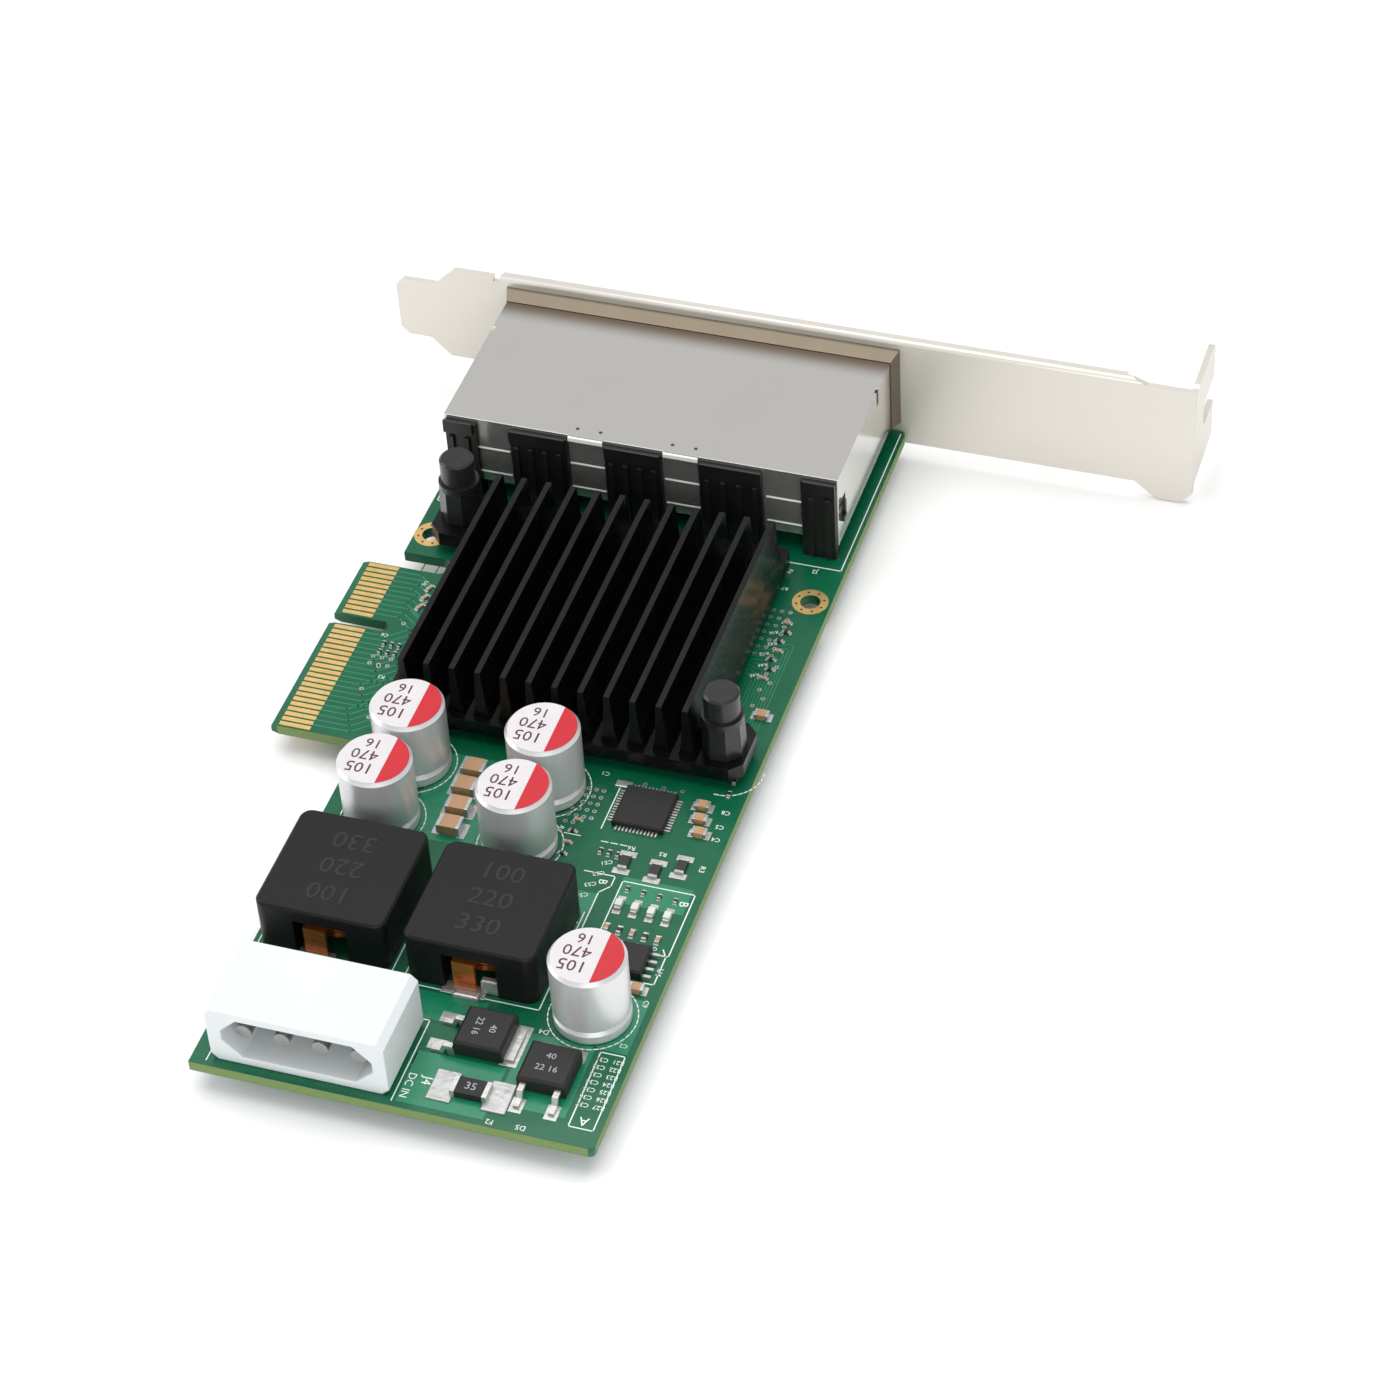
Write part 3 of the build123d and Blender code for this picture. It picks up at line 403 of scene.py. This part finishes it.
def lettering(mesh, words, centre, size, turn=180.0, z=0.0, height=0.02):
    """Raised print of a plain word or number, centred."""
    curve = bpy.data.curves.new("words", "FONT")
    curve.body = words
    curve.size = size
    curve.align_x, curve.align_y = "CENTER", "CENTER"
    curve.resolution_u = 2
    curve.extrude = height / 2
    holder = bpy.data.objects.new("words", curve)
    bpy.context.scene.collection.objects.link(holder)
    bpy.context.view_layer.update()
    shaped = holder.evaluated_get(bpy.context.evaluated_depsgraph_get())
    data = bpy.data.meshes.new_from_object(shaped)
    place = Matrix.Translation((*centre, z + height / 2))
    data.transform(place @ Matrix.Rotation(math.radians(turn), 4, "Z"))
    mesh.from_mesh(data)
    bpy.data.objects.remove(holder)
    bpy.data.meshes.remove(data)
    bpy.data.curves.remove(curve)


# %% From a mesh to a piece of the card
def piece(name, mesh, made, smooth=False):
    """Turns a mesh in millimetres into a piece of the card in metres."""
    bmesh.ops.recalc_face_normals(mesh, faces=mesh.faces)
    bmesh.ops.scale(mesh, vec=(MM, MM, MM), verts=mesh.verts)
    data = bpy.data.meshes.new(name)
    mesh.to_mesh(data)
    mesh.free()
    data.materials.append(made)
    if smooth:
        data.polygons.foreach_set("use_smooth", [True] * len(data.polygons))
        data.set_sharp_from_angle(angle=math.radians(35))
    made_object = bpy.data.objects.new(name, data)
    bpy.context.scene.collection.objects.link(made_object)
    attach(made_object, "root")
    print(name, len(data.polygons), "faces")


# %% [markdown]
# ## Copper under the mask
# Tracks show as slightly paler green lines. On a real board they are etched copper, so they run
# straight and turn by about forty five degrees. Wide pours carry the current of the power supply.

# %% Tracks and pours on both faces
random.seed(11)
FOIL = 0.012
PAD_END = 5.7
tracks = bmesh.new()
for i in range(10):
    y = 2.2 + i * 1.0
    stagger = (i % 3) * 0.4
    points = [(PAD_END, y), (9.2 + stagger, y), (12.0 + stagger, y - 2.2), (14.5, y - 2.2)]
    strip(tracks, points, 0.22, TOP, FOIL)
for i in range(20):
    y = -1.8 - i * 1.0
    reach = 9.0 + (i % 5) * 0.5
    points = [(PAD_END, y), (reach, y), (reach + 2.4, y + 2.0), (15.2, y + 2.0)]
    strip(tracks, points, 0.22, TOP, FOIL)
for i in range(9):
    x = 60.2 + i * 0.45
    strip(tracks, [(x, -16.5), (x, 3.0 + i), (58.8, 4.4 + i * 0.6)], 0.16, TOP, FOIL)
for x, y, w, h in (
    (46, -75.8, 11.5, 8.5), (56.8, -71.2, 9, 12), (34, -64.2, 24, 4.4), (30.5, -29, 12, 16),
    (48.5, -45, 9, 9), (60, -39, 9.4, 4.6), (63.2, -61, 4.4, 9),
):
    plate(tracks, (x, y, TOP), (w, h, 0.010))
for i in range(26):
    x = 8.0 + 2.1 * i
    low, high = random.uniform(-15, -5), random.uniform(8, 26)
    ends = [(x + random.choice((-3, 3)), high + 3) for _ in range(2)]
    strip(tracks, [(x, low), (x, high), *ends], 0.2, UNDER - FOIL, FOIL)
for i in range(18):
    y = -78 + 2.6 * i
    left = random.uniform(15, 28)
    points = [(left, y), (left + 14, y), (left + 16.5, y + 2.5), (62, y + 2.5)]
    strip(tracks, points, 0.25 + 0.25 * (i % 3), UNDER - FOIL, FOIL)
piece("copper_tracks", tracks, track_green)

# %% [markdown]
# ## Edge of the laminate
# A board is cut from a panel, so its sides show bare glass laminate, yellow green and rough. A thin
# band follows the outline.

# %% Bare edge band
BAND_LOW, BAND_HEIGHT, BAND_OUT = -1.52, 1.44, 0.04
band = bmesh.new()
outline = [(13.1, -80.9), (65.5, -80.9), (66.3, -80.1), (66.3, 57.5), (65.5, 58.3)]
for (ax, ay), (bx, by) in zip(outline, outline[1:]):
    length = math.hypot(bx - ax, by - ay)
    turn = math.degrees(math.atan2(by - ay, bx - ax))
    middle = ((ax + bx) / 2, (ay + by) / 2, BAND_LOW)
    plate(band, middle, (length + 0.02, BAND_OUT, BAND_HEIGHT), turn)
for ax, ay, bx, by in (
    (13.1, -80.9, 13.1, -22.15), (5.0, 15.3, 5.0, 58.3), (0.9, -22.15, 13.1, -22.15),
):
    middle = ((ax + bx) / 2, (ay + by) / 2, BAND_LOW)
    plate(band, middle, (abs(bx - ax) + 0.03, abs(by - ay) + 0.03, BAND_HEIGHT))
piece("laminate_edge", band, laminate)

# %% [markdown]
# ## Lands, vias and solder
# Each part stands on tinned lands. A land is the bare copper left open in the mask and covered by
# solder, so it is bright and slightly domed. Where much solder was used, it stands up as a blob.

# %% Lands and blobs under the parts
lands, blobs = bmesh.new(), bmesh.new()
for x, y in ((30.0, -23.7), (30.0, -27.2), (30.5, -30.9), (30.6, -34.5)):
    for side in (-1.75, 1.75):
        plate(lands, (x + side, y, 0), (1.1, 2.7, 0.10), 0, 0.04)
for x, y in ((61.3, -22.2), (61.7, -24.6), (62.4, -27.0), (63.1, -55.0), (63.7, -3.8)):
    for side in (-1.1, 1.1):
        plate(lands, (x + side, y, 0), (0.8, 1.5, 0.12), 0, 0.04)
for x, y in ((54.6, -34.4), (58.9, -34.9), (62.0, -33.3)):
    for side in (-1.6, 1.6):
        plate(lands, (x, y + side, 0), (2.3, 1.0, 0.14), 0, 0.05)
for i in range(4):
    for y in (-42.9, -40.5):
        plate(lands, (56.3 + 2.23 * i, y - 0.17 * i, 0), (1.1, 0.8, 0.12), 0, 0.04)
(left_x, left_y), (right_x, right_y) = DIODES
for side in (-2.28, 2.28):
    plate(lands, (left_x - 5.7, left_y + side, 0), (2.4, 1.7, 0.08), 0, 0.03)
    plate(lands, (right_x + side, right_y - 5.7, 0), (1.7, 2.4, 0.08), 0, 0.03)
plate(lands, (left_x + 3.9, left_y, 0), (2.3, 6.8, 0.08), 0, 0.03)
plate(lands, (right_x, right_y + 3.7, 0), (6.8, 2.0, 0.08), 0, 0.03)
for side in (-1, 1):
    plate(blobs, (FUSE[0] + side * 3.6, FUSE[1], 0), (3.2, 4.9, 0.30), 0, 0.14)
for x, y in COILS:
    plate(lands, (x - 1.0, y - 9.0, 0), (5.8, 1.4, 0.12), 0, 0.05)
for x, y in ((50.0, -19.9), (56.4, -20.4)):
    plate(lands, (x, y - 1.0, 0), (2.3, 1.2, 0.35), 0, 0.12)
coil_x, coil_y = COILS[1]
plate(blobs, (coil_x - 0.3, coil_y - 9.6, 0), (3.4, 1.3, 0.7), 0, 0.3)
plate(blobs, (coil_x + 2.5, coil_y - 8.2, 0.2), (2.3, 0.9, 2.2), 0, 0.2)
piece("solder_lands", lands, tin)
piece("solder_blobs", blobs, rough_solder)

# %% Vias: small tinned rings with a dark bore, in rows where the routing changes layer
via_metal, via_bores = bmesh.new(), bmesh.new()
via_ring = [(0.14, 0), (0.32, 0), (0.32, 0.02), (0.14, 0.02), (0.14, 0)]
via_places = [(10.3, 1.2), (10.1, -7.8), (11.6, 6.2), (9.4, -12.5), (12.4, -17.5)]
via_places += [(44.6 + 1.05 * (i % 4), -22.6 - 1.3 * (i // 4)) for i in range(22)]
via_places += [(52.6 + 1.3 * i, -20.0 - 0.9 * (i % 2)) for i in range(5)]
via_places += [(59.0 + 1.2 * (i % 3), 8.0 + 1.5 * (i // 3)) for i in range(21)]
via_places += [(61.8 + 1.0 * (i % 2), -2.0 + 1.6 * i) for i in range(6)]
via_places += [(8.6 + 1.3 * (i % 3), -6.0 - 1.4 * (i // 3)) for i in range(6)]
for x, y in via_places:
    for z in (0.0, -1.62):
        turned(via_metal, via_ring, (x, y, z), 12)
    turned(via_bores, [(0, 0), (0.15, 0), (0.15, 0.012), (0, 0.012)], (x, y, 0), 10)

# %% Eight bores round each mounting ring
BORE_CIRCLE = 1.95
for x, y in MOUNTING_RINGS:
    for i in range(8):
        a = math.radians(22.5 + 45 * i)
        bore_x, bore_y = x + BORE_CIRCLE * math.cos(a), y + BORE_CIRCLE * math.sin(a)
        for z in (0.05, -1.67):
            turned(
                via_bores, [(0, 0), (0.17, 0), (0.17, 0.02), (0, 0.02)], (bore_x, bore_y, z), 10)
piece("via_rings", via_metal, tin)
piece("via_bores", via_bores, hole_dark)

# %% Solder joints: a cone round every lead on the solder side
JACK_MIDDLE, PORT_PITCH, PIN_PITCH = 35.8, 14.1, 2.54
HEADER_MIDDLE, HEADER_PITCH = 27.55, 5.08
joints = bmesh.new()
ports = [JACK_MIDDLE + (i - 1.5) * PORT_PITCH for i in range(4)]
lead_places = [
    (p + (i - 1.5) * PIN_PITCH, y, 0.7) for p in ports for y in (34.8, 37.8) for i in range(4)]
lead_places += [(x + s, y, 0.75) for x, y in CANS for s in (-2.5, 2.5)]
lead_places += [(HEADER_MIDDLE + (i - 1.5) * HEADER_PITCH, -65.1, 1.75) for i in range(4)]
for x, y, r in lead_places:
    cone = [(0, -0.95), (r * 0.38, -0.9), (r * 0.55, -0.45), (r, -0.02), (r, 0), (0, 0)]
    turned(joints, cone, (x, y, UNDER), 18)
piece("solder_joints", joints, tin, True)

# %% [markdown]
# ## The smallest parts
# Resistors and capacitors of one millimetre and less are placed in rows beside the chip they serve.
# Each is a dark or tan body between two bright ends.

# %% Small resistors and ceramic capacitors
dark_bodies, tan_bodies, ends = bmesh.new(), bmesh.new(), bmesh.new()


def small_part(x, y, turn, body, length=1.0, width=0.5, height=0.35):
    """A body with an end cap and a fillet of solder on each side, turned by turn degrees."""
    c, s = math.cos(math.radians(turn)), math.sin(math.radians(turn))
    cap = (length * 0.24, width * 1.04, height * 1.05)
    fillet = (length * 0.34, width * 1.15, 0.09)
    plate(body, (x, y, 0.02), (length * 0.56, width, height), turn, 0.03)
    for side in (-1, 1):
        shift = side * length * 0.39
        plate(ends, (x + c * shift, y + s * shift, 0.02), cap, turn, 0.04)
        shift = side * length * 0.62
        plate(ends, (x + c * shift, y + s * shift, 0), fillet, turn, 0.03)


for i in range(4):
    small_part(56.5 + 2.2 * i, -38.8 - 0.15 * i, 90, dark_bodies, 0.8, 0.45)
for i in range(5):
    body = dark_bodies if i % 2 else tan_bodies
    small_part(56.0 + 1.75 * i, -45.8 - 0.12 * i, 90, body, 1.1, 0.6)
for i in range(3):
    small_part(50.9 + 1.2 * i, -33.2 - 0.1 * i, 90, dark_bodies, 0.9, 0.45)
for i in range(7):
    body = dark_bodies if i % 3 else tan_bodies
    small_part(61.6 + 0.42 * (i % 2), 3.4 + 1.9 * i, 0, body, 1.0, 0.5)
for i in range(5):
    small_part(63.9, -19.0 + 2.5 * i, 90, dark_bodies, 0.9, 0.45)
for i in range(6):
    small_part(9.2 + 1.1 * (i % 3), -3.4 - 1.7 * (i // 3), 90, dark_bodies, 0.8, 0.4)
for i in range(3):
    small_part(11.3, 8.9 - 2.0 * i, 60, tan_bodies, 1.1, 0.55)
for i in range(4):
    body = dark_bodies if i % 2 else tan_bodies
    small_part(46.2, -28.6 - 2.1 * i, 0, body, 0.9, 0.45)
small_part(60.9, -57.6, 0, tan_bodies, 1.6, 0.8, 0.6)
small_part(37.2, -20.6, 0, dark_bodies, 1.6, 0.8, 0.45)
piece("small_resistors", dark_bodies, black_film)
piece("small_capacitors", tan_bodies, ceramic)
piece("small_part_ends", ends, tin)

# %% [markdown]
# ## Back of the jack
# The moulding's posts carry ribs with round tops under a plain cap. The shield's roof is hooked to
# the rear wall by two folds, the rear wall has two creases between the posts, and a stop stands out
# of the right side. Folds and creases are near white: painted highlights where the bends catch light.

# %% Ribs, folds and the stop
JACK_LEFT, JACK_WIDTH, JACK_REAR, JACK_TOP = 6.9, 57.8, 29.8, 14.0
POST_REAR = 29.10
CAP_LOW, CAP_HEIGHT = 11.6, 2.1
RIB_LOW, RIB_HEIGHT = 0.4, 10.6
NARROW_POST = 6
posts = [(0.0, 0.08), (0.17, 0.318), (0.415, 0.56), (0.657, 0.816), (0.916, 1.0)]
ribs, fold_highlights, dots = bmesh.new(), bmesh.new(), bmesh.new()


def jack_span(start, end):
    """Left end, middle and width of a share of the jack."""
    left, stop = JACK_LEFT + JACK_WIDTH * start, JACK_LEFT + JACK_WIDTH * end
    return left, (left + stop) / 2, stop - left


for start, end in posts:
    left, middle, wide = jack_span(start, end)
    plate(ribs, (middle, POST_REAR - 0.15, CAP_LOW), (wide - 0.3, 0.5, CAP_HEIGHT), 0, 0.12)
    count = 2 if wide < NARROW_POST else 4
    for i in range(count):
        x = left + wide * (i + 0.5) / count
        plate(ribs, (x, POST_REAR - 0.12, RIB_LOW), (0.75, 0.6, RIB_HEIGHT), 0, 0.25)
for (_, start), (end, _) in zip(posts, posts[1:]):
    left, middle, wide = jack_span(start, end)
    for z, height in ((8.9, 0.16), (4.6, 0.14)):
        plate(fold_highlights, (middle, JACK_REAR - 0.04, z), (wide - 0.5, 0.16, height))
for share in (0.3665, 0.6085):
    x = JACK_LEFT + JACK_WIDTH * share
    plate(fold_highlights, (x, JACK_REAR - 0.2, JACK_TOP - 0.75), (5.1, 0.5, 0.75), 0, 0.2)
    for side in (-1.7, 1.7):
        dot = [(0, 0), (0.28, 0), (0.28, 0.012), (0, 0.012)]
        turned(dots, dot, (x + side, JACK_REAR + 1.6, JACK_TOP), 14)
plate(ribs, (64.95, 31.9, 5.9), (0.5, 0.55, 3.1), 0, 0.1)
plate(ribs, (65.0, 31.4, 5.9), (0.6, 1.3, 0.8), 0, 0.1)
piece("jack_ribs", ribs, black)
# The folds and creases get the near-white painted highlight.
piece("shield_fold_highlights", fold_highlights, painted_fold_highlight)
piece("shield_dots", dots, spring)

# %% [markdown]
# ## White print
# The legend is printed through a screen in white ink. It outlines parts, marks some of their corners
# and numbers them. The numbers here are plain ones.

# %% Outlines
LINE, FINE_LINE, INK = 0.16, 0.14, 0.02
ink = bmesh.new()
for x, y in CANS:
    ring_line(ink, (x, y), 5.7, LINE)
    strip(ink, [(x - 6.6, y + 4.2), (x - 5.4, y + 4.2)], LINE, 0, INK)
frames = [
    [(5.6, 27.0), (65.7, 27.0), (65.7, 57.6)],
    [(5.6, 27.0), (5.6, 57.6)],
]
frames += [
    [(x - 9.2, y + 8.0), (x - 9.2, y - 9.4), (x + 9.2, y - 9.4), (x + 9.2, y + 8.0)]
    for x, y in COILS]
frames += [
    [(15.2, -66.6), (39.8, -66.6), (39.8, -80.1)],
    [(15.2, -66.6), (15.2, -80.1)],
]
for points in frames:
    strip(ink, points, LINE, 0, INK)
ring_line(ink, (62.4, -14.5), 4.9, LINE, -95, 5)
for points in (
    [(55.4, -37.5), (65.2, -37.5), (65.2, -48.6), (55.4, -48.6), (55.4, -37.5)],
    [(50.0, -37.0), (54.2, -37.0), (54.2, -38.8), (53.0, -40.2), (53.0, -46.6)],
    [(62.1, -65.9), (65.3, -65.9), (65.3, -78.2), (62.1, -78.2), (62.1, -65.9)],
    [(64.2, -47.6), (64.9, -48.8), (64.9, -53.6), (63.6, -53.6)],
    [(49.6, -20.6), (49.6, -29.2)],
):
    strip(ink, points, LINE, 0, INK)
for i in range(3):
    strip(ink, [(50.4 + 1.3 * i, -31.4), (51.3 + 1.3 * i, -31.4)], FINE_LINE, 0, INK)
strip(ink, [(45.2, -31.2), (47.4, -31.2)], FINE_LINE, 0, INK)
print("outlines:", len(ink.faces), "faces")

# %% Numbers beside the parts
for words, x, y, size, turn in (
    ("R3", 64.6, -32.9, 1.1, 270), ("R5", 58.9, -31.6, 1.0, 180), ("R6", 54.6, -31.6, 1.0, 180),
    ("C4", 64.7, -27.3, 1.0, 180), ("C5", 64.5, -25.0, 1.0, 180), ("C8", 64.5, -22.3, 1.0, 180),
    ("D4", 54.2, -64.6, 1.1, 180), ("D5", 56.6, -80.0, 1.1, 180), ("F2", 52.6, -80.1, 1.1, 180),
    ("J4", 42.9, -76.0, 1.8, 270), ("DC IN", 40.9, -77.3, 1.5, 270), ("B", 64.2, -39.4, 1.7, 270),
    ("B", 52.9, -38.3, 1.6, 270), ("A", 63.7, -77.0, 1.9, 180), ("A", 51.6, -46.0, 1.5, 270),
    ("U4", 64.9, -51.4, 1.1, 270), ("C9", 64.9, -56.9, 1.0, 270), ("C2", 64.5, -64.2, 0.9, 180),
    ("U3", 34.8, -20.3, 1.1, 180), ("C1", 46.9, -19.4, 1.0, 180), ("R8", 44.4, -30.6, 1.0, 250),
    ("J2", 62.2, 26.0, 1.1, 180), ("P4", 58.8, 25.2, 0.9, 250), ("R7", 59.2, 21.6, 0.9, 180),
    ("C6", 8.6, -1.6, 0.9, 180), ("R2", 11.2, -9.6, 0.9, 180), ("U5", 10.2, 9.8, 0.9, 250),
):
    lettering(ink, words, (x, y), size, turn)
for row in range(7):
    lettering(ink, "R%d  C%d" % (21 + row, 31 + row), (63.7, -67.0 - 1.25 * row), 0.95, 180)
for i in range(5):
    lettering(ink, "R%d" % (41 + i), (60.3 + 0.5 * (i % 2), 12.6 - 2.2 * i), 0.85, 205)
    lettering(ink, "C%d" % (51 + i), (52.3 - 0.4 * i, -34.9 - 2.1 * i), 0.95, 205)
for i in range(4):
    lettering(ink, "Q%d" % (1 + i), (56.3 + 2.2 * i, -47.7), 0.8, 180)
piece("white_legend", ink, silk)

# %% [markdown]
# ## Capacitor tops
# A polymer can has a lacquered top with a coloured segment on the negative side. The ink is a thin
# layer, so it is a disc and a segment that follow the rounded rim.

# %% Print on the cans
CAN_PRINT, CAN_TOP, LACQUER = 4.62, 11.0, 11.04
CHORD, RIM_STEPS = 1.7, 12
pale, red, dark = bmesh.new(), bmesh.new(), bmesh.new()
limit = math.acos(CHORD / CAN_PRINT)
for x, y in CANS:
    turned(
        pale, [(0, 0), (CAN_PRINT, 0), (CAN_PRINT, 0.02), (CAN_PRINT - 0.05, 0.04), (0, 0.04)],
        (x, y, CAN_TOP), 64)
    angles = [limit * t / RIM_STEPS for t in range(-RIM_STEPS, RIM_STEPS + 1)]
    rim = [(x + CAN_PRINT * math.cos(a), y + CAN_PRINT * math.sin(a)) for a in angles]
    low = [red.verts.new((a, b, LACQUER)) for a, b in rim]
    top = [red.verts.new((a, b, LACQUER + 0.02)) for a, b in rim]
    red.faces.new(low[::-1])
    red.faces.new(top)
    for i in range(len(rim)):
        j = (i + 1) % len(rim)
        red.faces.new((low[i], low[j], top[j], top[i]))
    for words, step_x, step_y, size in (
        ("16", -1.0, 2.6, 2.3), ("470", -1.4, 0.4, 2.5), ("105", -1.3, -2.0, 2.6),
    ):
        lettering(dark, words, (x + step_x, y + step_y), size, 180, LACQUER, 0.02)
piece("can_lacquer", pale, white_print)
piece("can_segment", red, red_print)
piece("can_numbers", dark, dark_print)

# %% [markdown]
# ## Moulded and printed numbers
# The large parts carry plain values: moulded ones on the inductors, printed ones on the small bodies.


# %% Numbers on the bodies
def top_of(name):
    """Height of a CAD node's top, in millimetres."""
    node = nodes[name]
    return max((node.matrix_world @ Vector(c)).z for c in node.bound_box) / MM


ROW_STEP, DIODE_STEP = 4.6, 1.0
moulded, printed = bmesh.new(), bmesh.new()
for (x, y), name, turn, way in zip(COILS, ("left", "right"), (180, 0), (-1, 1)):
    top = top_of("inductor_core_" + name)
    for row, words in enumerate(("100", "220", "330")):
        row_y = y + (ROW_STEP - ROW_STEP * row) * way
        lettering(moulded, words, (x, row_y), 4.0, turn, top, 0.03)
lettering(printed, "35", FUSE, 1.6, 0, top_of("fuse_body"), INK)
top = top_of("diode_bodies")
for (x, y), turn, (step_x, step_y) in zip(DIODES, (270, 0), ((DIODE_STEP, 0), (0, DIODE_STEP))):
    lettering(printed, "22 16", (x - step_x, y - step_y), 1.3, turn, top, INK)
    lettering(printed, "40", (x + step_x, y + step_y), 1.3, turn, top, INK)
piece("moulded_numbers", moulded, chip_black)
piece("body_numbers", printed, pad_grey)

# %% Sizes
low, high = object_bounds()
print("visual box", [round(c / MM, 1) for c in (*low, *high)])
